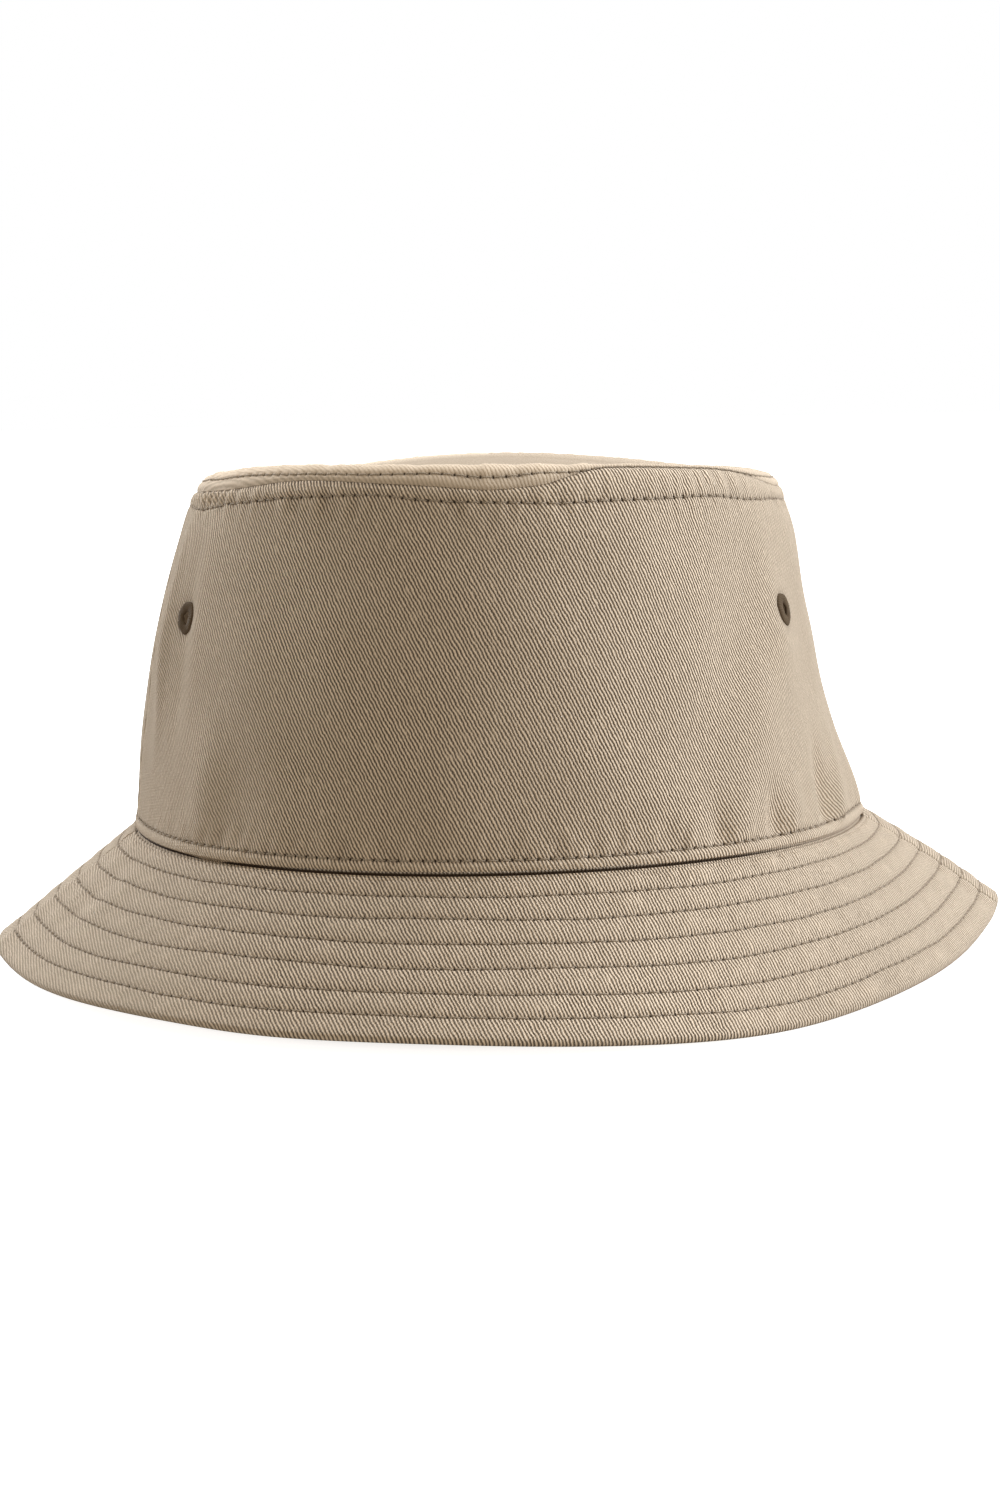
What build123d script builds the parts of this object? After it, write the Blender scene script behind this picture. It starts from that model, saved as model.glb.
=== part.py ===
from build123d import *
from math import cos, radians, sin
import os

# Bucket hat standing on its brim edge.  Millimetres, +Z up, front of the hat towards -Y.
# The origin is the centre of the flat ring that the brim edge rests on.

# Driving dimensions
seam_half_x = 90.0        # crown and brim meet at this oval, measured on the outside of the crown
seam_half_y = 100.0
crown_height = 83.0       # from the brim seam up to the tip seam
crown_taper = 19.0        # how far each half axis of the crown shrinks on the way up
brim_reach = 34.0         # how far the brim spreads outwards
brim_drop = 29.0          # how far it falls on the way
row_count = 6             # rows of stitching round the brim
cloth = 0.6               # one layer of cotton twill
interlining = 0.5         # stiffener between the two brim layers
side_seam_azimuth = 78.0  # degrees round the oval from the front to each side seam
sweatband_height = 32.0
sweatband_thick = 1.0
tape_thick = 0.4
thread = 0.45             # width of a row of stitching
thread_proud = 0.3        # how far a stitch stands off the cloth

# Places worked out from them
tip_z = brim_drop + crown_height
brim_tilt_stretch = (brim_reach ** 2 + brim_drop ** 2) ** 0.5 / brim_reach   # upright over square-on thickness
upper_bottom = -cloth * brim_tilt_stretch
under_top = upper_bottom - interlining * brim_tilt_stretch
under_bottom = under_top - cloth * brim_tilt_stretch

# Turned-up flaps at the front and rear of the brim
fold_share = 2.5 / (row_count + 1)      # the fold runs between the second and third rows
fold_y = seam_half_y + brim_reach * fold_share
flap_gap = 0.5

# Eyelets
eyelet_outer_r = 3.8
eyelet_hole_r = 1.5
eyelet_height = 52.0      # above the brim seam
eyelet_from_seam = 16.0   # degrees round the oval from the side seam to each eyelet
eyelet_proud = 0.5

# Care label, hanging from the top of the sweatband at the rear
label_width = 30.0
label_length = 25.0
label_thick = 0.3
label_y = 88.6
label_top_z = brim_drop + sweatband_height

FAR = 400.0               # larger than the whole hat, for cutting tools


def oval(half_x, half_y, z):
    """Flat oval at height z."""
    return Plane.XY.offset(z) * Ellipse(half_x, half_y)


def slab(z_low, z_high):
    """Everything between two heights."""
    return Pos(0, 0, (z_low + z_high) / 2) * Box(FAR, FAR, z_high - z_low)


def y_range(y_low, y_high):
    """Everything between two distances along Y."""
    return Pos(0, (y_low + y_high) / 2, 0) * Box(FAR, y_high - y_low, FAR)


def seam_direction(side):
    """Direction from the hat's axis to the left (-1) or right (+1) side seam."""
    middle_x = seam_half_x + brim_reach / 2
    middle_y = seam_half_y + brim_reach / 2
    angle = radians(side_seam_azimuth)
    return Vector(side * middle_x * sin(angle), -middle_y * cos(angle), 0).normalized()


def front_sector():
    """Everything in front of the two side seams."""
    left = seam_direction(-1) * FAR
    right = seam_direction(1) * FAR
    outline = [(0, 0), (right.X, right.Y), (right.X, -FAR), (left.X, -FAR), (left.X, left.Y)]
    return extrude(make_face(Polyline(*outline, close=True)), FAR, both=True)


def sector(end):
    """Everything in front of (-1) or behind (+1) the two side seams."""
    return front_sector() if end < 0 else Box(FAR, FAR, FAR) - front_sector()


def at_side_seam(side, shape):
    """Turn a shape that lies along +X so that it lies along a side seam."""
    direction = seam_direction(side)
    return Rot(0, 0, Vector(1, 0, 0).get_signed_angle(direction, Vector(0, 0, 1))) * shape


def crown_block(z_low, z_high, inset):
    """Solid tapered oval block that follows the crown wall, inset from its outside."""
    ends = []
    for z in (z_low, z_high):
        shrink = inset + crown_taper * (z - brim_drop) / crown_height
        ends.append(oval(seam_half_x - shrink, seam_half_y - shrink, z))
    return loft(ends, ruled=True)


def crown_shell(z_low, z_high, outer_inset, inner_inset):
    """Band that follows the crown wall between two heights and two insets."""
    return crown_block(z_low, z_high, outer_inset) - crown_block(z_low, z_high, inner_inset)


def brim_block(lift):
    """Solid under the sloping upper face of the brim, moved up by lift, open past both edges."""
    ends = []
    for share in (1.2, -0.2):
        spread = brim_reach * share
        ends.append(oval(seam_half_x + spread, seam_half_y + spread, brim_drop * (1.0 - share) + lift))
    return loft(ends, ruled=True)


def brim_sheet(top, bottom):
    """Sloping sheet between two upright offsets from the brim's upper face, cut flat at the edge and seam."""
    inner_edge = extrude(oval(seam_half_x - 1.0, seam_half_y - 1.0, 0), brim_drop)
    return (brim_block(top) - brim_block(bottom)) & slab(0, brim_drop) - inner_edge


def oval_strip(share, z_low, z_high):
    """Upright ring, one thread wide, standing over the brim at a share of its width."""
    spread = brim_reach * share
    outer = extrude(oval(seam_half_x + spread + thread / 2, seam_half_y + spread + thread / 2, z_low), z_high - z_low)
    inner = extrude(oval(seam_half_x + spread - thread / 2, seam_half_y + spread - thread / 2, z_low), z_high - z_low)
    return outer - inner


def eyelet_axis(side, end):
    """Location on the crown wall, with its Z axis square to the wall; side and end are -1 or +1."""
    shrink = crown_taper * eyelet_height / crown_height
    half_x = seam_half_x - shrink
    half_y = seam_half_y - shrink
    angle = radians(side_seam_azimuth + end * eyelet_from_seam)
    x = side * half_x * sin(angle)
    y = -half_y * cos(angle)
    outward = Vector(x / half_x ** 2, y / half_y ** 2, 0).normalized()
    normal = (outward + Vector(0, 0, crown_taper / crown_height)).normalized()
    return Plane(origin=(x, y, brim_drop + eyelet_height), z_dir=normal)


def eyelet_disc(side, end, radius, outside, inside):
    """Round plug through the crown wall, square to it."""
    plane = eyelet_axis(side, end)
    return extrude(plane.offset(-inside) * Circle(radius), outside + inside)


def crown_panel(end):
    """Front (-1) or rear (+1) half of the crown wall, with its two eyelet holes."""
    wall = crown_shell(brim_drop, tip_z, 0, cloth)
    half = wall & sector(end)
    for side in (-1, 1):
        half = half - eyelet_disc(side, end, eyelet_outer_r, 3 * cloth, 4 * cloth)
    return half


def crown_tip():
    """Flat oval top panel, resting on the wall."""
    return extrude(oval(seam_half_x - crown_taper, seam_half_y - crown_taper, tip_z), cloth)


def eyelet(side, end):
    """Ring of thread sewn round a hole."""
    ring = eyelet_disc(side, end, eyelet_outer_r, eyelet_proud, cloth + eyelet_proud)
    return ring - eyelet_disc(side, end, eyelet_hole_r, 3 * cloth, 4 * cloth)


def tip_seam_tape():
    """Binding over the tip seam, inside the top of the crown."""
    tape_height = 11.0
    return crown_shell(tip_z - tape_height, tip_z, cloth, cloth + tape_thick)


def side_seam_tape(side):
    """Upright binding over a side seam, from the sweatband up to the tip tape."""
    tape_width = 12.0
    tape_top = tip_z - 11.5
    band = crown_shell(brim_drop + sweatband_height + 1.0, tape_top, cloth, cloth + tape_thick)
    return band & at_side_seam(side, Pos(FAR / 4, 0, 0) * Box(FAR / 2, tape_width, FAR))


def sweatband():
    """Folded band round the inside of the crown, just above the brim seam."""
    return crown_shell(brim_drop, brim_drop + sweatband_height, cloth, cloth + sweatband_thick)


def tip_stitching():
    """Two rows beside the tip seam, one on the wall and one on the top panel."""
    row_from_seam = 3.5
    wall_row = crown_shell(tip_z - row_from_seam - thread, tip_z - row_from_seam, -thread_proud, 0)
    top_inset = crown_taper + row_from_seam
    top_row = extrude(oval(seam_half_x - top_inset, seam_half_y - top_inset, tip_z + cloth), thread_proud)
    top_inset = top_inset + thread
    top_row = top_row - extrude(oval(seam_half_x - top_inset, seam_half_y - top_inset, tip_z), FAR)
    return wall_row, top_row


def crown_base_stitching():
    """One row on the wall, just above the brim seam, that holds the sweatband."""
    row_from_seam = 2.7
    return crown_shell(brim_drop + row_from_seam, brim_drop + row_from_seam + thread, -thread_proud, 0)


def side_seam_stitching():
    """A row of stitches on each side of both side seams."""
    row_from_seam = 2.0
    layer = crown_shell(brim_drop + 4.0, tip_z - 5.0, -thread_proud, 0)
    rows = []
    for side in (-1, 1):
        for end in (-1, 1):
            cutter = Pos(FAR / 4, end * row_from_seam, 0) * Box(FAR / 2, thread, FAR)
            rows.append(layer & at_side_seam(side, cutter))
    return rows


def brim_rows():
    """Rows of stitching round the brim, seen on its upper and lower faces."""
    above = brim_block(thread_proud) - brim_block(0)
    below = brim_block(under_bottom) - brim_block(under_bottom - thread_proud)
    rows = []
    for row in range(1, row_count + 1):
        strip = oval_strip(row / (row_count + 1), -FAR / 4, FAR / 4)
        rows.append(above & strip)
        rows.append(below & strip)
    return rows


def fixed_part(solid, end):
    """What of a brim solid stays with the crown on one side of the side seams."""
    reach = fold_y - flap_gap / 2
    return solid & y_range(-reach, reach) & sector(end)


def flap_part(solid, end):
    """What of a brim solid turns up with the flap."""
    start = fold_y + flap_gap / 2
    return solid & (y_range(-FAR / 2, -start) if end < 0 else y_range(start, FAR / 2))


def care_label():
    """Blank label hanging from its sewn top edge."""
    return Pos(0, label_y, label_top_z - 1.0 - label_length / 2) * Box(label_width, label_thick, label_length)


def care_label_tack():
    """Bar of stitches that holds the label to the sweatband."""
    bar_depth = 4.0
    bar = Pos(0, label_y + label_thick / 2 + bar_depth / 2 + 0.2, label_top_z - 1.5) * Box(20.0, bar_depth, 0.8)
    return bar & crown_block(brim_drop, label_top_z, cloth + sweatband_thick)


def solids_of(shape):
    """All closed solids in a shape or in a list of shapes."""
    if isinstance(shape, (list, tuple)):
        return [solid for item in shape for solid in solids_of(item)]
    return list(shape.solids()) if shape is not None else []


def write(node, shape):
    """Save one node of the hat as parts/NODE.step."""
    solids = solids_of(shape)
    export_step(solids[0] if len(solids) == 1 else Compound(children=solids), f"parts/{node}.step")


os.makedirs("parts", exist_ok=True)
write("crown_tip", crown_tip())
write("tip_seam_tape", tip_seam_tape())
write("sweatband", sweatband())
write("tip_stitching", tip_stitching())
write("crown_base_stitching", crown_base_stitching())
write("side_seam_stitching", side_seam_stitching())
write("care_label", care_label())
write("care_label_tack", care_label_tack())

for side, side_name in ((-1, "left"), (1, "right")):
    write(f"side_seam_tape_{side_name}", side_seam_tape(side))
    for end, end_name in ((-1, "front"), (1, "rear")):
        write(f"eyelet_{side_name}_{end_name}", eyelet(side, end))

layers = {
    "brim_upper": brim_sheet(0, upper_bottom),
    "brim_interlining": brim_sheet(upper_bottom, under_top),
    "brim_under": brim_sheet(under_top, under_bottom),
}
rows = brim_rows()
fixed_rows = []
for end, end_name in ((-1, "front"), (1, "rear")):
    write(f"crown_{end_name}_panel", crown_panel(end))
    for layer_name, sheet in layers.items():
        write(f"{layer_name}_{end_name}", fixed_part(sheet, end))
        write(f"{layer_name}_{end_name}_flap", flap_part(sheet, end))
    write(f"brim_stitching_{end_name}", [fixed_part(row, end) for row in rows])
    write(f"brim_stitching_{end_name}_flap", [flap_part(row, end) for row in rows])
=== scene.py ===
"""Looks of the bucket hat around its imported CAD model.

Lengths are millimetres until a mesh is made.  An azimuth goes round the hat from its front (-Y), positive
towards +X.  A run is a distance along the cloth, up the crown wall or out along the brim, from the seam
between them.  Signed degrees are an azimuth in degrees, from -180 to 180, that folds and strays are placed in.
"""
import bmesh
import bpy
import numpy as np
from mathutils import Matrix, Vector


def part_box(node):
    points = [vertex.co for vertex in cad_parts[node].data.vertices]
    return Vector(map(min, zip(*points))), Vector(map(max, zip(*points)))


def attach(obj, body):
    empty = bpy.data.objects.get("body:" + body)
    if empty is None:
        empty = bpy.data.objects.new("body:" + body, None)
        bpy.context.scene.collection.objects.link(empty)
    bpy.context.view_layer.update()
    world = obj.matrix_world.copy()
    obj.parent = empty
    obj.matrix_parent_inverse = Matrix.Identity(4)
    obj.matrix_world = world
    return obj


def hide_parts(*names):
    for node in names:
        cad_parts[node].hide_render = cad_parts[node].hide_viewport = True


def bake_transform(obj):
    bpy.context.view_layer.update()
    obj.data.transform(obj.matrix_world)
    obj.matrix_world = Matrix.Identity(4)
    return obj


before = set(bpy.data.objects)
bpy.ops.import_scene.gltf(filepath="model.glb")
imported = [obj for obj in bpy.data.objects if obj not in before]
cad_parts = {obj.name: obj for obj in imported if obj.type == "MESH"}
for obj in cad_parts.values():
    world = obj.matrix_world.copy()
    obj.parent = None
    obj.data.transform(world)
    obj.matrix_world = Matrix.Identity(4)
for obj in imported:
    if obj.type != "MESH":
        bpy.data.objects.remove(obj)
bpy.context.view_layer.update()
MM = 0.001
TAU = 2.0 * np.pi


# ---------------------------------------------------------------- sizes, from the frame

def corners(node):
    """Lowest and highest corner of a CAD node, in millimetres."""
    low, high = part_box(node)
    return np.array(low) / MM, np.array(high) / MM


WALL_HIGH = corners("crown_rear_panel")[1]
SEAM_HALF_X = WALL_HIGH[0]
SEAM_HALF_Y = WALL_HIGH[1]
SEAM_Z = corners("crown_rear_panel")[0][2]
CROWN_HEIGHT = WALL_HIGH[2] - SEAM_Z
CROWN_TAPER = SEAM_HALF_X - corners("crown_tip")[1][0]
BRIM_REACH = corners("brim_upper_rear_flap")[1][1] - SEAM_HALF_Y
BRIM_DROP = SEAM_Z
BRIM_WIDTH = np.hypot(BRIM_REACH, BRIM_DROP)
SIDE_SEAM = np.arccos(-corners("crown_rear_panel")[0][1] / SEAM_HALF_Y)     # azimuth of the side seams
LABEL_LOW, LABEL_HIGH = corners("care_label")
SWEATBAND_TOP = corners("sweatband")[1][2]
MEAN_RADIUS = (SEAM_HALF_X + SEAM_HALF_Y) / 2

CLOTH = 0.6                 # one layer of twill
INTERLINING = 0.5
STAND_LIFT = 2.7            # the brim's waves hold the crown this much higher than a level brim would
ROWS = 6
ROW_SHARES = (0.137, 0.277, 0.422, 0.570, 0.722, 0.857)    # of the brim's width
STITCH = 2.85               # pitch of the stitches
THREAD_R = 0.17
EYELET_R = 3.7
EYELET_HOLE_R = 1.5
WALL_BASE_ROW = 2.7         # run of the row of stitches above the brim seam
TIP_ROW = 3.3               # distance of the row of stitches below the tip seam
RIM_ROW = 2.1               # distance of the row of stitches above it


# ---------------------------------------------------------------- helpers for shapes

def bump(x, centre, width):
    """Smooth hill, 1 high, at centre."""
    return np.exp(-((x - centre) / width) ** 2)


def step(x, low, high):
    """Smooth rise from 0 at low to 1 at high."""
    t = np.clip((x - low) / (high - low), 0.0, 1.0)
    return t * t * (3.0 - 2.0 * t)


def plateau(x, rise, full, fading, end):
    """Smooth rise to 1 between rise and full, and fall back to 0 between fading and end."""
    return step(x, rise, full) * (1.0 - step(x, fading, end))


def hills(x, *each):
    """Sum of smooth hills, each (height, centre, width)."""
    return sum(height * bump(x, centre, width) for height, centre, width in each)


def round_waves(azimuth, cosines, sines=()):
    """Rise and fall round the hat, from amounts of the cosine and sine of 1, 2, 3... times the azimuth."""
    total = 0.0 * azimuth
    for count, amount in enumerate(cosines, 1):
        total = total + amount * np.cos(count * azimuth)
    for count, amount in enumerate(sines, 1):
        total = total + amount * np.sin(count * azimuth)
    return total


def waves(points, size, seed, count=14):
    """Smooth random field over space, about -1 to 1, whose hills are about size apart."""
    rng = np.random.default_rng(seed)
    total = np.zeros(points.shape[:-1])
    for _ in range(count):
        direction = rng.normal(size=3)
        direction *= TAU / (size * rng.uniform(0.7, 1.5)) / np.linalg.norm(direction)
        total += np.cos(points @ direction + rng.uniform(0, TAU))
    return total / np.sqrt(count)


def signed_degrees(azimuth):
    """An azimuth in degrees, from -180 to 180."""
    return np.degrees((azimuth + np.pi) % TAU - np.pi)


def ripples(length, size, seed, count=9):
    """Smooth random line along a length, about -1 to 1."""
    rng = np.random.default_rng(seed)
    total = np.zeros(np.shape(length))
    for _ in range(count):
        total += np.cos(length * TAU / (size * rng.uniform(0.6, 1.7)) + rng.uniform(0, TAU))
    return total / np.sqrt(count)


TABLE_AZIMUTH = np.linspace(-np.pi, 2 * np.pi, 6001)
TABLE_STEP = np.hypot(SEAM_HALF_X * np.cos(TABLE_AZIMUTH), SEAM_HALF_Y * np.sin(TABLE_AZIMUTH))
TABLE_PIECES = (TABLE_STEP[1:] + TABLE_STEP[:-1]) / 2 * np.diff(TABLE_AZIMUTH)
TABLE_LENGTH = np.concatenate([[0], np.cumsum(TABLE_PIECES)])
TABLE_LENGTH -= np.interp(0.0, TABLE_AZIMUTH, TABLE_LENGTH)


def girth(azimuth):
    """Length along the brim seam from the front to an azimuth."""
    return np.interp(azimuth, TABLE_AZIMUTH, TABLE_LENGTH)


def oval(azimuth, half_x, half_y, z):
    """Points of an oval ring."""
    return np.stack([half_x * np.sin(azimuth), -half_y * np.cos(azimuth), z + 0.0 * azimuth], axis=-1)


def unit(vectors):
    """Vectors of length 1."""
    return vectors / np.maximum(np.linalg.norm(vectors, axis=-1, keepdims=True), 1e-9)


def surface_normal(surface, azimuth, run):
    """Outward or upward normal of a surface function, from small steps along it."""
    small = 0.02
    across = surface(azimuth + small / 100.0, run) - surface(azimuth - small / 100.0, run)
    along = surface(azimuth, run + small) - surface(azimuth, run - small)
    return unit(np.cross(across, along))


# ---------------------------------------------------------------- the crown

WALL_LEAN = np.arctan2(CROWN_TAPER, CROWN_HEIGHT)
WALL_RUN = (CROWN_HEIGHT - 3.5) / np.cos(WALL_LEAN)       # run of the tip seam, just under the crown's top
WALL_APEX = MEAN_RADIUS / np.sin(WALL_LEAN)               # radius of the wall's cone, rolled out flat
RIM_RUN = 12.0                                            # width of the tip's rounded rim
SEAM_REACH = 7.0            # how far along the cloth a stray of the tip seam is felt
PROFILE_RUN = np.linspace(0.0, WALL_RUN + RIM_RUN, 3001)
PROFILE_TURN = (np.pi / 2 - WALL_LEAN + 0.10) * step(PROFILE_RUN, WALL_RUN - 3.0, WALL_RUN + 6.6)
PROFILE_PACE = PROFILE_RUN[1] - PROFILE_RUN[0]
PROFILE_INSET = np.cumsum(np.sin(WALL_LEAN + PROFILE_TURN)) * PROFILE_PACE
PROFILE_HEIGHT = np.cumsum(np.cos(WALL_LEAN + PROFILE_TURN)) * PROFILE_PACE


def side_crease(azimuth):
    """How far the brim's edge draws in behind each side seam, where the hat has been folded flat."""
    degrees = signed_degrees(azimuth)
    shift = 0.0
    for behind, depth in ((degrees - 79.6, 6.5), (-degrees - 81.0, 4.5)):
        past = 1.5 * np.log1p(np.exp(behind / 1.5))
        shift = shift + depth * (1.0 - np.exp(-past / 6.5)) * (1.0 - step(past, 30.0, 80.0))
    return shift


def seam_height(azimuth):
    """How the brim seam rises and falls round the hat."""
    return STAND_LIFT - 0.2 + round_waves(azimuth, (0.6, 0.9), (0.0, 0.15))


def top_height(azimuth):
    """How the tip seam rises and falls round the hat."""
    return (STAND_LIFT + 1.0 + round_waves(azimuth, (2.2, 2.2, -0.75), (-0.45,))
            + hills(signed_degrees(azimuth), (0.5, -90.0, 25.0), (0.7, -37.0, 13.0)))


def rim_rise(azimuth):
    """How full the tip's rounded rim is round the hat; 1 is its plain shape."""
    corners_full = hills(signed_degrees(azimuth), (0.25, -90.0, 25.0), (0.22, -58.0, 14.0),
                         (-0.15, -37.0, 13.0), (0.22, 60.0, 14.0))
    return (1.48 + 0.52 * step(np.cos(azimuth), 0.2, 0.9) + corners_full
            + round_waves(azimuth, (0.0, -0.08), (0.0, -0.16)))


def seam_wander(azimuth):
    """How far up the rim the tip seam strays; on the right front it comes up to the crest."""
    degrees = signed_degrees(azimuth)
    strays = hills(degrees, (0.6, -33.0, 15.0), (-1.2, 0.5, 8.0))
    return strays + 3.0 * plateau(degrees, 8.0, 24.0, 45.0, 75.0)


def top_row_wander(azimuth):
    """How the row of stitches under the tip seam strays from its line."""
    strays = hills(signed_degrees(azimuth), (-1.0, -66.0, 9.0), (0.5, -33.0, 14.0), (0.9, -20.0, 8.0),
                   (-0.6, 3.0, 12.0), (-0.6, 13.0, 6.0), (0.7, 36.0, 12.0), (0.5, 48.0, 8.0))
    return (strays + 0.12 * ripples(girth(azimuth), 35.0, 81)
            - bump(TIP_ROW, 0.0, SEAM_REACH) * seam_wander(azimuth))


def crown_profile(run):
    """Inset and height of the crown's section at a run, past the tip seam too."""
    run = np.asarray(run, float)
    inset = np.interp(run, PROFILE_RUN, PROFILE_INSET) + np.minimum(run, 0.0) * np.sin(WALL_LEAN)
    height = np.interp(run, PROFILE_RUN, PROFILE_HEIGHT) + np.minimum(run, 0.0) * np.cos(WALL_LEAN)
    return inset, height


SEAM_RISE = crown_profile(WALL_RUN)[1]
RIM_INSET, RIM_HEIGHT = crown_profile(WALL_RUN + RIM_RUN)


def wall_base(azimuth, run):
    """Crown wall and rim before their folds."""
    run = run + seam_wander(azimuth) * bump(run, WALL_RUN, SEAM_REACH)
    inset, height = crown_profile(run)
    share = np.clip(run / WALL_RUN, 0.0, 1.0)
    past = np.maximum(height - SEAM_RISE, 0.0)
    z = (SEAM_Z + height + past * (rim_rise(azimuth) - 1.0)
         + seam_height(azimuth) * (1.0 - share) + top_height(azimuth) * share)
    inset = inset + side_crease(azimuth) * (0.28 - 0.24 * share)
    points = oval(azimuth, SEAM_HALF_X - inset, SEAM_HALF_Y - inset, z)
    points[..., 0] -= 1.1 * share ** 2
    return points


# signed degrees at the brim seam, degrees it leans as it rises, height of its ridge, depth of its valley,
# share of the wall that it reaches
BASE_FOLDS = (
    (60.7, 5.0, 2.0, 2.2, 0.36),
    (46.5, 3.0, 1.2, 1.6, 0.22),
    (34.5, 4.0, 0.8, 1.1, 0.22),
    (26.0, 2.0, 0.3, 0.45, 0.15),
)


def wall_push(azimuth, run, points):
    """How far the crown wall's folds and dents stand out of its plain shape."""
    degrees = signed_degrees(azimuth)
    share = np.clip(run / WALL_RUN, 0.0, 1.0)
    belly = 4.0 * share * (1.0 - share)
    side = np.sin(azimuth)
    push = belly * np.where(side < 0, 4.0, -1.7) * np.abs(side) ** 3
    # folds that rise from the row above the brim seam at the right front, and spread as they rise
    off_the_row = step(run, 0.8, 4.5)
    risen = np.clip(share / 0.25, 0.0, 1.2)
    apart = 1.7 + 2.0 * risen
    for base, lean, ridge, valley, reach in BASE_FOLDS:
        middle = base + lean * risen
        fold = ridge * bump(degrees, middle + apart, 2.1) - valley * bump(degrees, middle - apart, 2.0)
        push += (1.0 - step(share, 0.3 * reach, reach)) * off_the_row * fold
    push += (1.0 - step(share, 0.1, 0.4)) * off_the_row * 0.9 * bump(degrees, 76.5, 2.2)
    # broad slanting fold from the right front up to the eyelet
    slant = 30.0 + 34.0 * share
    push += bump(share, 0.42, 0.30) * hills(degrees, (1.3, slant + 6.0, 7.0), (-1.3, slant - 6.0, 7.5))
    # soft ridges past the eyelets
    push += bump(share, 0.58, 0.28) * hills(degrees, (1.6, -69.5, 2.2), (-0.9, -62.0, 3.0))
    push += bump(share, 0.62, 0.22) * hills(degrees, (0.9, 57.0, 4.0), (0.8, 70.0, 3.0))
    # hollow and ridge above the brim seam at the left front
    left_front = hills(degrees, (0.9, -50.0, 4.0), (-0.9, -43.0, 5.0))
    push += (1.0 - step(share, 0.10, 0.45)) * step(run, 0.8, 6.0) * left_front
    loose = 1.0 - 0.8 * step(share, 0.85, 1.0)
    push += loose * (0.6 * waves(points, 62.0, 3) + 0.22 * waves(points, 24.0, 4))
    return push


def crown_surface(azimuth, run):
    """Outside of the crown wall, with its folds."""
    plain = wall_base(azimuth, run)
    normal = surface_normal(wall_base, azimuth, run)
    return plain + normal * wall_push(azimuth, run, plain)[..., None]


def tip_surface(azimuth, run):
    """Top of the crown's tip; run goes inwards from the tip seam to the middle."""
    rim = crown_surface(azimuth, WALL_RUN + np.minimum(run, RIM_RUN))
    half_x = SEAM_HALF_X - RIM_INSET
    half_y = SEAM_HALF_Y - RIM_INSET
    share = np.clip((run - RIM_RUN) / half_x, 0.0, 1.0)
    flat = oval(azimuth, half_x, half_y, 0.0) * (1.0 - share[..., None])
    middle_z = SEAM_Z + RIM_HEIGHT + STAND_LIFT - 2.5
    inner = rim * (1.0 - share[..., None])
    inner[..., 2] = middle_z + (rim[..., 2] - middle_z) * (1.0 - step(share, 0.0, 0.75))
    inner[..., 2] += 0.6 * step(share, 0.02, 0.2) * waves(flat, 45.0, 8)
    return np.where((run > RIM_RUN)[..., None], inner, rim)


# ---------------------------------------------------------------- the brim

BRIM_SLOPE = np.arctan2(BRIM_DROP, BRIM_REACH)
BRIM_APEX = MEAN_RADIUS / np.cos(BRIM_SLOPE)      # radius of the brim seam, with the brim rolled out flat


def edge_height(azimuth):
    """How the brim's edge rises and falls round the hat."""
    front = step(np.cos(azimuth), -0.5, 0.1)
    wave = round_waves(azimuth, (-0.15, -1.2, 0.5), (0.0, 0.85, -2.15))
    rear = 0.7 * np.sin(2 * azimuth + 0.6) + 0.5 * np.sin(3 * azimuth)
    strays = hills(signed_degrees(azimuth), (1.3, -81.0, 13.0), (-0.45, -25.0, 9.0), (0.6, -4.0, 10.0),
                   (-0.6, 29.0, 12.0), (2.4, 86.0, 15.0))
    return STAND_LIFT + 1.4 + front * wave + (1.0 - front) * rear + strays


def edge_spread(azimuth):
    """How the brim's reach changes round the hat."""
    return (-0.85 + round_waves(azimuth, (-0.65, 0.25), (-0.9, -0.65, 0.25))
            + hills(signed_degrees(azimuth), (2.2, -85.0, 12.0), (2.9, 83.0, 10.0)))


def brim_base(azimuth, run):
    """Upper side of the brim before its ripples."""
    share = run / BRIM_WIDTH
    spread = BRIM_REACH * share + edge_spread(azimuth) * np.clip(share, 0.0, 1.2)
    spread = spread - side_crease(azimuth) * (0.28 + 0.72 * share)
    z = SEAM_Z - BRIM_DROP * share + seam_height(azimuth) * (1.0 - share) + edge_height(azimuth) * share
    return oval(azimuth, SEAM_HALF_X + spread, SEAM_HALF_Y + spread, z)


def brim_push(azimuth, run, points):
    """How far the brim's waves stand up from its plain shape."""
    degrees = signed_degrees(azimuth)
    share = np.clip(run / BRIM_WIDTH, 0.0, 1.1)
    loose = step(share, 0.05, 0.6)
    push = loose * 0.35 * waves(points, 70.0, 12)
    push += step(share, 0.1, 1.0) * hills(degrees, (1.0, 7.0, 10.0), (-1.0, 33.0, 13.0))
    seam = np.degrees(SIDE_SEAM)
    for centre in (-seam, seam):
        push += loose * hills(degrees, (0.7, centre + 2.5, 2.2), (-0.8, centre - 2.0, 2.4))
    creases = hills(degrees, (0.3, -70.5, 2.4), (-0.35, -66.0, 2.2), (0.35, -61.0, 2.6))
    push += plateau(share, 0.05, 0.25, 0.5, 0.9) * creases
    push += 1.1 * np.sin(np.pi * np.clip(share, 0.0, 1.0)) * bump(degrees, 84.0, 14.0)
    return push


def brim_normal(azimuth, run):
    """Upward normal of the brim."""
    return -surface_normal(brim_base, azimuth, run)


def brim_surface(azimuth, run):
    """Upper side of the brim, with its waves."""
    plain = brim_base(azimuth, run)
    return plain + brim_normal(azimuth, run) * brim_push(azimuth, run, plain)[..., None]


# ---------------------------------------------------------------- stitches and what they do to the cloth
# Along a row of stitches, turns counts the stitches: a needle hole is at each whole number.

SIDE_ROW = 2.2              # distance of the rows on each side of a side seam
SEAM_LINE_RUN = 0.2         # run of the groove where the brim goes in under the crown, darkened with painted shade


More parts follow.
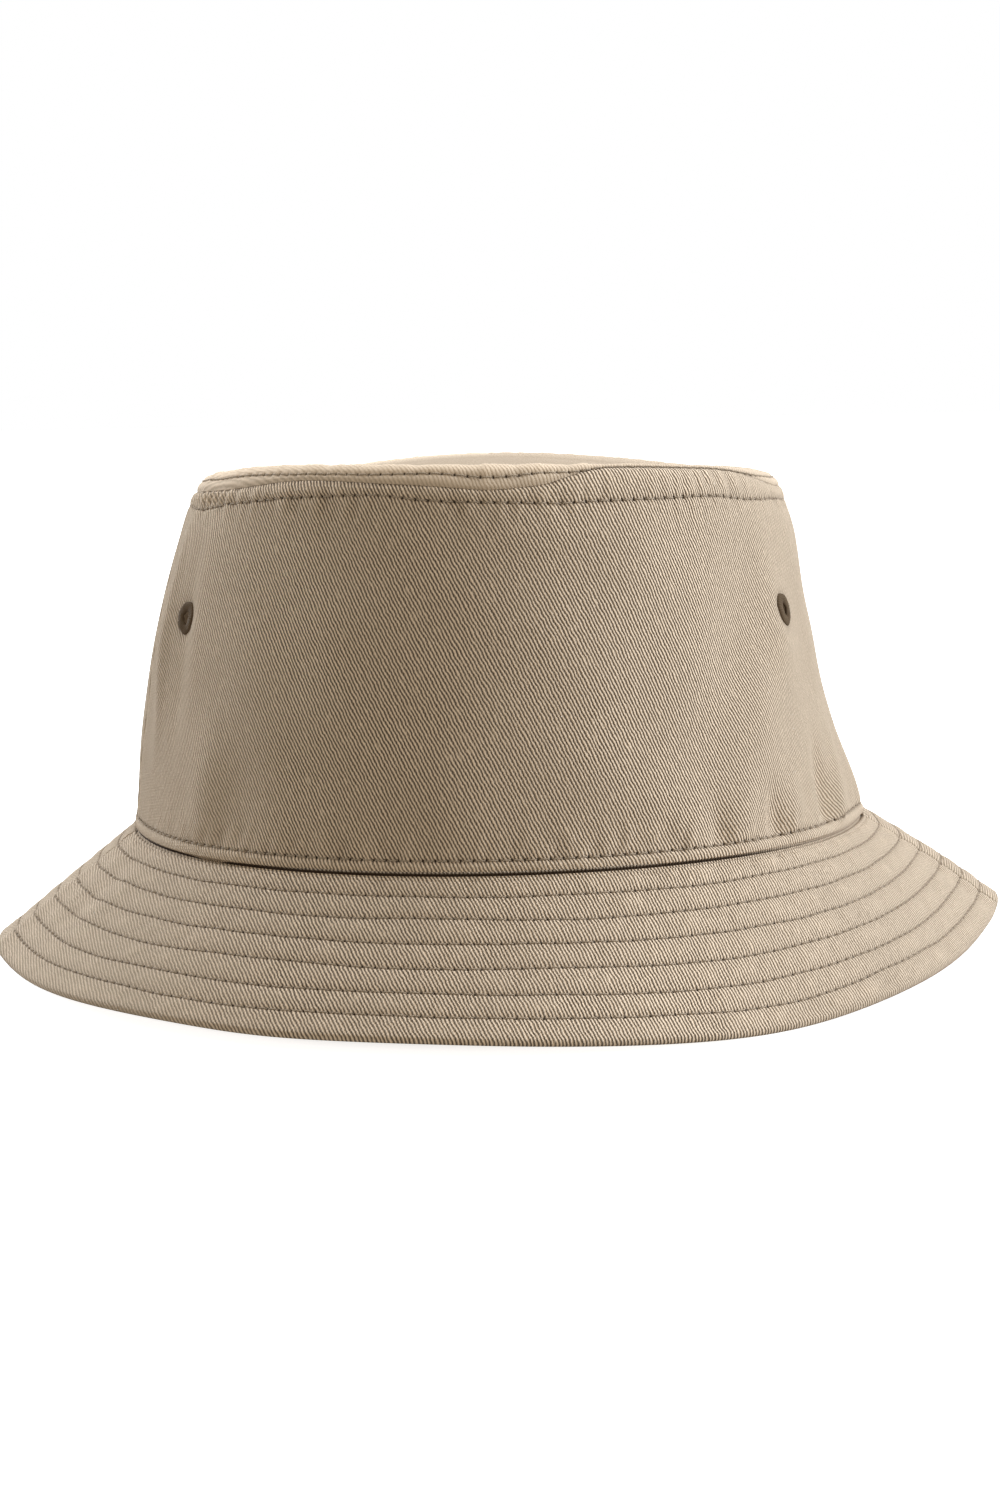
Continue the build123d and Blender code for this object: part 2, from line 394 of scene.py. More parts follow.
def row_turns(azimuth, start, stop, growth):
    """Turns of a row from azimuth start to stop, growth times as long as the brim seam."""
    whole = girth(stop) - girth(start)
    return (girth(azimuth) - girth(start)) / whole * np.round(whole * growth / STITCH)


def dent(distance, turns, depth):
    """Groove that a row of stitches pulls into the cloth, with a pit at each needle hole."""
    along = np.abs(turns - np.round(turns)) * STITCH
    pit = 0.40 * np.exp(-(distance / 0.35) ** 2 - (along / 0.45) ** 2)
    return -depth * np.exp(-(distance / 0.6) ** 2) - pit


def nearest(rows):
    """Turns and distance of the nearest of several (turns, distance) rows."""
    turns = np.stack([np.broadcast_to(t, d.shape) for t, d in rows])
    distance = np.stack([d for _, d in rows])
    pick = distance.argmin(axis=0)[None]
    return np.take_along_axis(turns, pick, 0)[0], np.take_along_axis(distance, pick, 0)[0]


def panel_of(azimuth):
    """Start and stop azimuths of the panel that each azimuth is in."""
    front = np.cos(azimuth) > np.cos(SIDE_SEAM)
    start = np.where(front, -SIDE_SEAM, SIDE_SEAM)
    stop = np.where(front, SIDE_SEAM, TAU - SIDE_SEAM)
    return start, stop


def brim_row_run(azimuth, row):
    """Run of a brim row, with the small wander of a hand-guided seam."""
    length = girth(azimuth)
    wander = 0.20 * ripples(length, 60.0, 60 + row) + 0.07 * ripples(length, 17.0, 90 + row)
    return ROW_SHARES[row] * BRIM_WIDTH + wander


def brim_row_turns(azimuth, row):
    """Turns of a brim row from its panel's side seam."""
    start, stop = panel_of(azimuth)
    return row_turns(azimuth, start, stop, 1.0 + ROW_SHARES[row] * BRIM_REACH / MEAN_RADIUS)


def brim_rows(azimuth, run):
    """Turns and distance of the nearest stitch row of the brim.

    The painted shade of the seam line under the crown counts as a row, further off where that painted shade is
    fainter.
    """
    rows = []
    for row in range(ROWS):
        rows.append((brim_row_turns(azimuth, row), np.abs(run - brim_row_run(azimuth, row))))
    degrees = signed_degrees(azimuth)
    # the seam line's painted shade is fainter on the right and at the far left
    fainter = 0.30 * step(degrees, 25.0, 62.0) + 0.12 * step(-degrees, 45.0, 80.0)
    rows.append((0.0 * azimuth, 0.5 * np.abs(run - SEAM_LINE_RUN) + fainter))
    return nearest(rows)


TIP_GROWTH = 1.0 - (CROWN_TAPER + 1.0) / MEAN_RADIUS


def top_row_run(azimuth):
    """Run of the crown row under the tip seam."""
    return WALL_RUN - TIP_ROW + top_row_wander(azimuth)


def wall_rows(azimuth, run):
    """Turns and distance of the nearest stitch row of the crown wall."""
    base_row = (row_turns(azimuth, -np.pi, np.pi, 1.0), np.abs(run - WALL_BASE_ROW))
    top_row = (row_turns(azimuth, -np.pi, np.pi, TIP_GROWTH), np.abs(run - top_row_run(azimuth)))
    return nearest([base_row, top_row])


def rim_row_run(azimuth):
    """Run, inwards from the tip seam, of the row of stitches on the rim."""
    degrees = signed_degrees(azimuth)
    return (RIM_ROW - 1.0 * bump(degrees, -34.0, 20.0) - 1.85 * plateau(degrees, 8.0, 19.0, 55.0, 80.0)
            + 0.1 * ripples(girth(azimuth), 45.0, 82))


def tip_rows(azimuth, run):
    """Turns and distance of the stitch row of the tip."""
    return row_turns(azimuth, -np.pi, np.pi, TIP_GROWTH), np.abs(run - rim_row_run(azimuth))


def side_seam_dent(azimuth, scale, depth):
    """Valley where two panels meet at a side seam, and the swelling of the turned cloth beside it."""
    relief = 0.0
    for seam in (-SIDE_SEAM, SIDE_SEAM, TAU - SIDE_SEAM):
        across = (girth(azimuth) - girth(seam)) * scale
        relief = relief + depth * (0.4 * np.exp(-(across / 3.2) ** 4) - np.exp(-(across / 0.5) ** 2))
    return relief


def brim_relief(azimuth, run):
    """Fine relief of the brim's cloth: stitch rows, the puffs between them, and small gathers."""
    length = girth(azimuth)
    edges = np.array([0.0, *ROW_SHARES, 1.0]) * BRIM_WIDTH
    relief = np.zeros(np.broadcast(azimuth, run).shape)
    rough = 0.6 + 0.6 * bump(signed_degrees(azimuth), 36.0, 20.0)
    for band in range(ROWS + 1):
        inside = np.clip((run - edges[band]) / (edges[band + 1] - edges[band]), 0.0, 1.0)
        gather = (0.09 * ripples(length + 0.8 * run, 6.5, 20 + band)
                  + 0.12 * ripples(length - 0.5 * run, 15.0, 40 + band)
                  + 0.05 * ripples(length + 0.3 * run, 3.2, 50 + band))
        relief += np.sin(np.pi * inside) ** 2 * (0.15 + rough * gather)
    turns, distance = brim_rows(azimuth, run)
    relief += dent(distance, turns, 0.15) * step(run, 1.0, 3.0)
    relief -= 0.9 * bump(run, SEAM_LINE_RUN + 0.3, 0.45) + 0.18 * bump(run, 2.0, 0.35)
    relief += side_seam_dent(azimuth, 1.0 + run / BRIM_APEX, 0.12)
    return relief


def wall_relief(azimuth, run):
    """Fine relief of the crown wall's cloth: its stitch rows, turned hems and gathers along them."""
    length = girth(azimuth)
    turns, distance = wall_rows(azimuth, run)
    relief = dent(distance, turns, 0.15)
    relief += 0.25 * bump(run, 1.3, 1.0)
    relief += 0.12 * bump(run, WALL_RUN - TIP_ROW / 2, 1.2)
    relief -= 0.25 * bump(run, WALL_RUN, 0.4)
    near_rows = bump(run, WALL_BASE_ROW + 2.0, 3.5) + bump(run, WALL_RUN - TIP_ROW - 1.0, 3.5)
    gathers = 0.10 * ripples(length + 0.3 * run, 8.0, 71) + 0.07 * ripples(length - 0.4 * run, 3.6, 72)
    relief += near_rows * gathers
    pleated = hills(signed_degrees(azimuth), (1.0, -64.0, 13.0), (0.5, 47.0, 7.0))
    pleats = np.sin(length * TAU / 5.6 + 1.6 * np.sin(length / 5.3))
    relief += 0.60 * pleated * bump(run, WALL_RUN - 1.9, 1.7) * pleats
    relief += side_seam_dent(azimuth, 1.0 - run / WALL_APEX, 0.5)
    for side in (-1, 1):
        for azimuth_e, run_e in eyelet_places(side):
            distance_e = np.hypot((length - girth(azimuth_e)) * (1.0 - run_e / WALL_APEX), run - run_e)
            relief -= 0.4 * np.exp(-(distance_e / (EYELET_R + 1.0)) ** 4)
    return relief


# degrees and millimetres that each front eyelet sits from its place in the plain model
FRONT_EYELET_STRAY = {"left": (1.2, 1.2), "right": (2.6, 1.0)}


def eyelet_places(side):
    """Azimuth and run of the front and rear eyelets of one side."""
    name = "left" if side < 0 else "right"
    places = []
    for end, (nudge, lower) in (("front", FRONT_EYELET_STRAY[name]), ("rear", (0.0, 0.0))):
        low, high = corners(f"eyelet_{name}_{end}")
        middle = (low + high) / 2
        run = (middle[2] - SEAM_Z) / np.cos(WALL_LEAN) - lower
        inset = crown_profile(run)[0]
        azimuth = np.arctan2(middle[0] / (SEAM_HALF_X - inset), -middle[1] / (SEAM_HALF_Y - inset))
        places.append((azimuth - np.radians(nudge), run))
    return places


def tip_relief(azimuth, run):
    """Fine relief of the tip's cloth along its seam."""
    length = girth(azimuth)
    turns, distance = tip_rows(azimuth, run)
    relief = dent(distance, turns, 0.2)
    relief += hills(run, (0.10, RIM_ROW / 2, 0.9), (-0.25, 0.0, 0.4))
    gathers = 0.10 * ripples(length, 9.0, 75) + 0.06 * ripples(length, 4.0, 76)
    relief += bump(run, RIM_ROW + 2.0, 3.0) * gathers
    return relief


# ---------------------------------------------------------------- meshes

def mesh_object(name, points, faces, uv, material, rows=None, painted_relief_light=None):
    """Mesh piece from millimetre points, faces and a flat-cloth coordinate for each point.

    rows gives each point's turns along the nearest row of stitches and its distance from it.
    The last argument is above 0 where the cloth stands out and gets a painted highlight, and below 0 where it
    is sunk and gets painted shade.
    """
    mesh = bpy.data.meshes.new(name)
    faces = [np.asarray(part) for part in faces]
    mesh.vertices.add(len(points))
    mesh.vertices.foreach_set("co", (points * MM).astype(np.float32).ravel())
    corners_all = np.concatenate([part.ravel() for part in faces])
    sizes = np.concatenate([np.full(len(part), part.shape[1]) for part in faces])
    mesh.loops.add(len(corners_all))
    mesh.loops.foreach_set("vertex_index", corners_all.astype(np.int32))
    mesh.polygons.add(len(sizes))
    mesh.polygons.foreach_set("loop_start", np.concatenate([[0], np.cumsum(sizes)[:-1]]).astype(np.int32))
    mesh.update(calc_edges=True)
    for layer_name, coordinates in (("cloth", uv), ("rows", rows)):
        if coordinates is not None:
            layer = mesh.uv_layers.new(name=layer_name)
            layer.data.foreach_set("uv", coordinates[corners_all].astype(np.float32).ravel())
    mesh.validate()
    # layer of painted shade and painted highlight taken from the cloth's relief
    if painted_relief_light is not None:
        painted_light = mesh.attributes.new("painted_relief_light", "FLOAT", "POINT")
        painted_light.data.foreach_set("value", painted_relief_light.astype(np.float32).ravel())
    mesh.shade_smooth()
    mesh.materials.append(material)
    piece = bpy.data.objects.new(name, mesh)
    bpy.context.scene.collection.objects.link(piece)
    return piece


def ring_faces(rows, columns, closed):
    """Quads of a tube of rows points round its section and columns sections, joined end to end if closed."""
    row = np.arange(rows)
    column = np.arange(columns if closed else columns - 1)
    r, c = np.meshgrid(row, column, indexing="ij")
    r2 = (r + 1) % rows
    c2 = (c + 1) % columns
    quads = np.stack([r * columns + c, r * columns + c2, r2 * columns + c2, r2 * columns + c], axis=-1)
    return quads.reshape(-1, 4)


def strip(name, azimuths, section, place, flat, material, closed=False, rows_of=None, relief_of=None):
    """Closed strip of cloth: a section of (run, height, relief share) points swept round the hat.

    place(azimuth, run, height, relief share) gives the points; flat(azimuth, run) gives the flat pattern.
    rows_of(azimuth, run) gives the nearest row of stitches.
    """
    section = np.asarray(section, float)
    azimuth, run = np.meshgrid(azimuths, section[:, 0])
    height = np.broadcast_to(section[:, 1:2], run.shape)
    share = np.broadcast_to(section[:, 2:3], run.shape)
    points = place(azimuth, run, height, share)
    rows, columns = run.shape
    faces = [ring_faces(rows, columns, closed)]
    if not closed:
        first = np.arange(rows) * columns
        faces += [first[None, :], (first + columns - 1)[None, ::-1]]
    near_row, relief = None, None
    if rows_of is not None:
        near_row = np.stack(rows_of(azimuth, run), axis=-1).reshape(-1, 2)
        # the relief also sets the cloth's painted shade and painted highlight
        relief = relief_of(azimuth, run) * share
    uv = flat(azimuth, run).reshape(-1, 2)
    return mesh_object(name, points.reshape(-1, 3), faces, uv, material, near_row, relief)


def stands_for(piece, nodes, body="root"):
    """Hides the CAD nodes that a piece replaces and attaches the piece to its body, unless body is None."""
    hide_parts(*nodes)
    if body is not None:
        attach(piece, body)


def fine_runs(start, end, rows, coarse):
    """Runs from start to end, coarse apart, with close ones about each stitch row."""
    runs = list(np.arange(start, end, coarse)) + [end]
    for row in rows:
        runs = [r for r in runs if abs(r - row) > 1.15 or r in (start, end)]
        close = row + np.array([-1.1, -0.7, -0.4, -0.18, 0.0, 0.18, 0.4, 0.7, 1.1])
        runs += [r for r in close if start < r < end]
    return sorted(set(np.round(runs, 4)))


def azimuth_steps(start, end, pitch):
    """Azimuths from start to end, about pitch millimetres apart along the brim seam."""
    count = int((girth(end) - girth(start)) / pitch)
    lengths = np.linspace(girth(start), girth(end), count + 1)
    return np.interp(lengths, TABLE_LENGTH, TABLE_AZIMUTH)


PANELS = {                        # first, last and middle azimuth
    "front": (-SIDE_SEAM, SIDE_SEAM, 0.0),
    "rear": (SIDE_SEAM, TAU - SIDE_SEAM, np.pi),
}
BRIM_GRAIN = np.radians(5.5)      # turn of the brim's grain from the crown's


def brim_flat(middle):
    """Flat pattern of a brim panel about its middle azimuth."""
    def flat(azimuth, run):
        angle = (girth(azimuth) - girth(middle)) / BRIM_APEX + BRIM_GRAIN
        radius = BRIM_APEX + run
        return np.stack([radius * np.sin(angle), -radius * np.cos(angle)], axis=-1)
    return flat


def wall_flat(middle):
    """Flat pattern of a crown wall panel about its middle azimuth."""
    def flat(azimuth, run):
        angle = (girth(azimuth) - girth(middle)) / WALL_APEX
        radius = WALL_APEX - run
        return np.stack([radius * np.sin(angle), WALL_APEX - radius * np.cos(angle)], axis=-1)
    return flat


def brim_place(side):
    """Places brim points; side is 1 where the relief is on the upper face, -1 on the lower one."""
    def place(azimuth, run, height, share):
        level = brim_surface(azimuth, run)
        lift = height + side * share * brim_relief(azimuth, run)
        return level + brim_normal(azimuth, run) * lift[..., None]
    return place


def wall_place(azimuth, run, height, share):
    """Places crown wall points."""
    normal = surface_normal(crown_surface, azimuth, run)
    return crown_surface(azimuth, run) + normal * (height + share * wall_relief(azimuth, run))[..., None]


def tip_place(azimuth, run, height, share):
    """Places points of the tip."""
    normal = surface_normal(tip_surface, azimuth, run)
    return tip_surface(azimuth, run) + normal * (height + share * tip_relief(azimuth, run))[..., None]


# ---------------------------------------------------------------- materials

class Graph:
    """Short way to add shader nodes to a material.

    An input is a number, a colour or another node's output.
    """

    def __init__(self, name):
        self.material = bpy.data.materials.new(name)
        self.material.use_nodes = True
        self.tree = self.material.node_tree
        self.shader = self.tree.nodes["Principled BSDF"]

    def put(self, socket, value):
        """Link or set one input socket."""
        if isinstance(value, bpy.types.NodeSocket):
            self.tree.links.new(value, socket)
        elif value is not None:
            socket.default_value = value

    def node(self, kind, *inputs, **settings):
        """New node with its first inputs and its settings."""
        node = self.tree.nodes.new("ShaderNode" + kind)
        for setting, value in settings.items():
            setattr(node, setting, value)
        for socket, value in zip(node.inputs, inputs):
            self.put(socket, value)
        return node

    def math(self, operation, *values, clamp=False):
        return self.node("Math", *values, operation=operation, use_clamp=clamp).outputs[0]

    def plus(self, a, b):
        return self.math("ADD", a, b)

    def minus(self, a, b):
        return self.math("SUBTRACT", a, b)

    def times(self, a, b, clamp=False):
        return self.math("MULTIPLY", a, b, clamp=clamp)

    def line(self, value, slope, start, clamp=False):
        """start + slope * value."""
        return self.math("MULTIPLY_ADD", value, slope, start, clamp=clamp)

    def ramp(self, value, start, width):
        """0 at start, 1 at start + width."""
        return self.math("DIVIDE", self.minus(value, start), width, clamp=True)

    def wave(self, turns):
        """Between 0 and 1, once for each turn."""
        return self.line(self.math("SINE", self.times(turns, TAU)), 0.5, 0.5)

    def spread(self, value, from_low, from_high, to_low, to_high):
        """Map one range onto another."""
        return self.node("MapRange", value, from_low, from_high, to_low, to_high).outputs["Result"]

    def uv(self, layer="cloth"):
        return self.node("UVMap", uv_map=layer).outputs["UV"]

    def place(self):
        """Place on the object, in metres."""
        return self.node("TexCoord").outputs["Object"]

    def axis(self, vector, name):
        return self.node("SeparateXYZ", vector).outputs[name]

    def combine(self, x, y):
        return self.node("CombineXYZ", x, y).outputs[0]

    def scaled(self, vector, scale, turn=0.0):
        """Vector turned about Z and scaled."""
        node = self.node("Mapping", vector)
        node.inputs["Scale"].default_value = scale
        node.inputs["Rotation"].default_value = (0.0, 0.0, turn)
        return node.outputs[0]

    def noise(self, vector, scale, detail=2.0, rough=0.5):
        node = self.node("TexNoise", vector)
        for name, value in {"Scale": scale, "Detail": detail, "Roughness": rough}.items():
            node.inputs[name].default_value = value
        return node.outputs["Fac"]

    def mix(self, share, a, b):
        """Colour a, with share of colour b mixed in."""
        node = self.node("Mix", share, data_type="RGBA", blend_type="MIX")
        self.put(node.inputs[6], a)
        self.put(node.inputs[7], b)
        return node.outputs[2]

    def bump(self, height, distance, strength=1.0):
        """Normal of a relief; distance in metres is the height of 1."""
        node = self.node("Bump")
        node.inputs["Strength"].default_value = strength
        node.inputs["Distance"].default_value = distance
        self.put(node.inputs["Height"], height)
        return node.outputs[0]

    def finish(self, colour, roughness, normal, sheen=0.0, specular=0.06):
        """Wire up the shader and hand back the material."""
        inputs = {"Base Color": colour, "Roughness": roughness, "Normal": normal,
                  "Specular IOR Level": specular, "Sheen Weight": sheen, "Sheen Roughness": 0.6}
        for name, value in inputs.items():
            self.put(self.shader.inputs[name], value)
        return self.material


def shade(colour, factor):
    """A colour made lighter or darker, with full alpha."""
    return tuple(min(1.0, channel * factor) for channel in colour[:3]) + (1.0,)


KHAKI = (0.545, 0.426, 0.302)
KHAKI_DEEP = (0.036, 0.021, 0.011, 1.0)      # between the ribs: the weave's dark gaps, deepened by painted shade; also the painted shade of hollows, needle holes and the seam line
EYELET_BROWN = (0.135, 0.090, 0.050)
TWILL_ANGLE = np.radians(62.0)    # of the ribs, from the weft
TWILL_PITCH = 0.78                # between ribs


def stitch_shade(g):
    """Painted shade, 0 to 1, for the needle holes and the groove of the nearest row of stitches."""
    rows = g.uv("rows")
    along = g.times(g.math("PINGPONG", g.axis(rows, "X"), 0.5), STITCH)
    distance = g.axis(rows, "Y")
    from_hole = g.math("SQRT", g.plus(g.math("POWER", along, 2.0), g.math("POWER", distance, 2.0)))
    hole = g.math("SUBTRACT", 1.0, g.math("DIVIDE", g.minus(from_hole, 0.14), 0.24), clamp=True)
    groove = g.math("SUBTRACT", 1.0, g.math("DIVIDE", distance, 0.28), clamp=True)
    return g.math("MAXIMUM", hole, g.times(groove, 0.22))


def sides_share(g):
    """1 at the hat's left and right sides, where the ribs are painted as washed out by the side lights, 0 in
    the middle.
    """
    place = g.place()
    patch = g.line(g.noise(place, 45.0), 0.024, -0.012)
    sideways = g.plus(g.math("ABSOLUTE", g.axis(place, "X")), patch)
    return g.ramp(sideways, 0.046, 0.036)


def twill_ribs(g, uv):
    """Heights of the ribs, of the yarn floats on them and of their slubs, each 0 to 1."""
    u = g.axis(uv, "X")
    v = g.axis(uv, "Y")
    sin_rib = np.sin(TWILL_ANGLE) / TWILL_PITCH
    cos_rib = np.cos(TWILL_ANGLE) / TWILL_PITCH
    wobble = g.line(g.noise(uv, 0.5, 3.0), 0.9, -0.45)
    across = g.plus(g.plus(g.times(u, sin_rib), g.times(v, cos_rib)), wobble)
    along = g.minus(g.times(u, cos_rib), g.times(v, sin_rib))
    rib_number = g.math("FLOOR", g.plus(across, 0.25))
    floats = g.wave(g.plus(g.times(along, 0.95), g.times(rib_number, 0.37)))
    slub = g.noise(g.combine(across, g.times(along, 0.22)), 1.3, 2.0, 0.6)
    return g.wave(across), floats, slub


def twill_material(name, colour, deep, painted_light=False):
    """Cotton twill: slanted ribs of yarn floats with dark gaps, slubs in the yarn, fluff, painted shade in
    needle holes and where the cloth is sunk, and painted highlight where it stands out.

    When the last argument is true, the ribs are painted washed out by light everywhere, not only at the hat's
    sides, and the painted highlight on ridges is stronger.
    """
    g = Graph(name)
    uv = g.uv()
    rib, floats, slub = twill_ribs(g, uv)
    fuzz = g.noise(uv, 3.2, 3.0, 0.65)
    cloud = g.noise(uv, 0.05, 4.0, 0.6)
    # painted washout of the ribs by light: at the hat's sides, or all over the tip's cloth; there the gaps
    # fade, the base tone drops and mottling shows
    light_washout = 1.0 if painted_light else sides_share(g)
    # dark gaps between the ribs: the weave's pattern, deepened by painted shade in the grooves
    gap = g.math("POWER", g.minus(1.0, rib), 0.85)
    strength = g.times(g.line(slub, 3.0, -0.30, clamp=True), g.line(floats, 0.40, 0.78))
    strength = g.times(strength, 0.35 if painted_light else g.line(light_washout, -0.50, 1.0))
    tone = g.mix(light_washout, shade(colour, 1.80), shade(colour, 1.24))
    tone = g.mix(g.times(gap, strength, clamp=True), tone, deep)
    # mottled fluff, stronger where the ribs are painted as washed out by light
    mottle = g.line(g.noise(uv, 1.9, 2.0, 0.7), 6.0, -2.7, clamp=True)
    tone = g.mix(g.times(mottle, 0.12 if painted_light else g.times(light_washout, 0.55)), tone, shade(colour, 0.80))
    tone = g.mix(g.times(fuzz, 0.16), tone, shade(colour, 0.72))
    tone = g.mix(g.line(cloud, 0.5, -0.14, clamp=True), tone, shade(colour, 0.84))
    # painted shade in the sunk cloth, and painted highlight on its ridges
    painted_relief_light = g.node("Attribute", attribute_name="painted_relief_light").outputs["Fac"]
    valley = g.line(painted_relief_light, -1.2, -0.06, clamp=True)
    tone = g.mix(g.times(valley, 0.7), tone, shade(deep, 3.0))
    ridge = g.times(painted_relief_light, 1.4, clamp=True)
    tone = g.mix(g.times(ridge, 0.75 if painted_light else 0.45), tone, shade(colour, 1.5))
    # painted shade in the needle holes and stitch grooves, which also dents the bump
    stitch_shade_mask = stitch_shade(g)
    tone = g.mix(stitch_shade_mask, tone, deep)
    height = g.plus(g.math("POWER", rib, 0.6), g.times(floats, 0.25))
    height = g.minus(g.plus(height, g.times(fuzz, 0.35)), g.times(stitch_shade_mask, 1.5))
    relief = g.bump(height, 0.00009 if painted_light else 0.00026)
    return g.finish(tone, g.line(rib, -0.08, 0.94), relief, sheen=0.01)


def plain_cloth_material(name, colour, pitch=0.55, sheen=0.15):
    """Plain weave: yarns over and under each other."""
    g = Graph(name)
    uv = g.uv()
    u = g.times(g.axis(uv, "X"), np.pi / pitch)
    v = g.times(g.axis(uv, "Y"), np.pi / pitch)
    weave = g.math("ABSOLUTE", g.times(g.math("SINE", u), g.math("SINE", v)))
    fuzz = g.noise(uv, 2.5, 3.0, 0.6)
    tone = g.mix(weave, shade(colour, 0.78), shade(colour, 1.06))
    tone = g.mix(g.times(fuzz, 0.3), tone, shade(colour, 0.78))
    height = g.plus(weave, g.times(fuzz, 0.4))
    return g.finish(tone, 0.92, g.bump(height, 0.00012, 0.8), sheen=sheen)


def thread_material(name, colour):
    """Twisted sewing thread; its flat coordinate runs along each stitch and round it."""
    g = Graph(name)
    uv = g.uv()
    ply = g.wave(g.plus(g.times(g.axis(uv, "X"), 2.4), g.axis(uv, "Y")))
    fuzz = g.noise(uv, 4.0)
    tone = g.mix(ply, shade(colour, 0.66), shade(colour, 1.12))
    tone = g.mix(g.times(fuzz, 0.35), tone, shade(colour, 0.7))
    return g.finish(tone, 0.75, g.bump(ply, 0.00006, 0.7), sheen=0.02)


def felt_material(name, colour):
    """Non-woven stiffener."""
    g = Graph(name)
    fibres = g.noise(g.scaled(g.uv(), (1.0, 0.3, 1.0), 0.6), 2.0, 5.0, 0.7)
    tone = g.mix(fibres, shade(colour, 0.85), shade(colour, 1.1))
    return g.finish(tone, 0.95, g.bump(fibres, 0.0001, 0.6))


def satin_material(name, colour):
    """Satin ribbon: fine lengthwise yarns."""
    g = Graph(name)
    uv = g.uv()
    yarns = g.line(g.math("SINE", g.times(g.axis(uv, "X"), TAU / 0.35)), 0.5, 0.5)
    cloud = g.noise(uv, 0.3)
    tone = g.mix(g.times(yarns, 0.4), shade(colour, 1.05), shade(colour, 0.88))
    tone = g.mix(g.times(cloud, 0.2), tone, shade(colour, 0.85))
    return g.finish(tone, 0.42, g.bump(yarns, 0.00004, 0.5), sheen=0.1, specular=0.3)


TWILL = twill_material("khaki_twill", KHAKI, KHAKI_DEEP)
# the tip's twill: ribs painted washed out by light all over, and a stronger painted highlight on ridges
TWILL_PAINTED_LIT = twill_material("khaki_twill_painted_lit", shade(KHAKI, 0.98), KHAKI_DEEP, painted_light=True)
THREAD = thread_material("khaki_thread", shade(KHAKI, 0.78))
EYELET_THREAD = thread_material("eyelet_thread", EYELET_BROWN)
INTERLINING_FELT = felt_material("interlining_felt", (0.72, 0.70, 0.66))
TAPE_CLOTH = plain_cloth_material("tape_cloth", shade(KHAKI, 0.92))
BAND_CLOTH = plain_cloth_material("sweatband_cloth", shade(KHAKI, 0.95), pitch=0.75)
LABEL_SATIN = satin_material("label_satin", (0.80, 0.79, 0.76))


# ---------------------------------------------------------------- pieces

STACK = CLOTH + INTERLINING + CLOTH
EDGE_R = 1.1                # the turned edge is a little fuller than half the stack
GATHER_PITCH = 0.62         # mesh pitch along the brim that holds its gathers and needle holes
CREST_HIGHLIGHT = 1.2            # strength of the painted highlight along the crest of the rim
FAR_FROM_ROWS = 50.0        # distance from a row for cloth that has none
HOLE_MARGIN = 0.55          # cloth cut away past an eyelet's hole, under its ring
THREAD_SIDES = 6            # of a stitch's round section
SINK = 0.1                  # how far a row of stitches is drawn into its cloth


def bends_with_brim(piece):
    """Bakes a brim piece's transform into its mesh."""
    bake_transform(piece)


def turned_edge(radius, start_turn, end_turn, count):
    """Section points round the brim's edge; turn 0 is the upper face and pi the lower one."""
    middle_run = BRIM_WIDTH - EDGE_R
    turns = np.linspace(start_turn, end_turn, count)
    return [(middle_run + radius * np.sin(t), -STACK / 2 + radius * np.cos(t), 0.0) for t in turns]


def level(runs, height, share=0.0):
    """Section points at some runs, all at one height."""
    return [(run, height, share) for run in runs]


def brim_section(layer, rows):
    """Section of a brim layer: its outer face, the turned edge, and its inner face on the way back."""
    last = BRIM_WIDTH - EDGE_R - 1.4
    plain = np.linspace(-0.6, last, 16)
    if layer == "interlining":
        gap = 0.04
        return level(plain, -CLOTH - gap) + level(plain[::-1], -STACK + CLOTH + gap)
    fine = fine_runs(-0.6, last, rows + [SEAM_LINE_RUN + 0.3, 2.0], 1.4)
    if layer == "upper":
        face = level(fine, 0.0, 1.0) + turned_edge(EDGE_R, 0.1, 1.62, 7)
        face += turned_edge(EDGE_R - 0.3, 1.72, 1.72, 1)
        back = turned_edge(EDGE_R - CLOTH, 1.62, 0.1, 4) + level(plain[::-1], -CLOTH)
    else:
        face = level(fine, -STACK, 1.0) + turned_edge(EDGE_R, np.pi - 0.1, 1.86, 6)
        face += turned_edge(EDGE_R - 0.3, 1.76, 1.76, 1)
        back = turned_edge(EDGE_R - CLOTH, 1.86, np.pi - 0.1, 4) + level(plain[::-1], -STACK + CLOTH)
    return face + back


def brim_layer(end, layer):
    """One panel of the brim's upper cloth, lower cloth or interlining."""
    start, stop, middle = PANELS[end]
    section = brim_section(layer, [share * BRIM_WIDTH for share in ROW_SHARES])
    name = f"brim_{layer}_{end}"
    place = brim_place(-1 if layer == "under" else 1)
    if layer == "interlining":
        azimuths = azimuth_steps(start, stop, 2.5)
        piece = strip(f"{name}_cloth", azimuths, section, place, brim_flat(middle), INTERLINING_FELT)
    else:
        azimuths = azimuth_steps(start, stop, GATHER_PITCH)
        piece = strip(f"{name}_cloth", azimuths, section, place, brim_flat(middle), TWILL,
                      rows_of=brim_rows, relief_of=brim_relief)
    stands_for(piece, [name, f"{name}_flap"], None)
    bends_with_brim(piece)


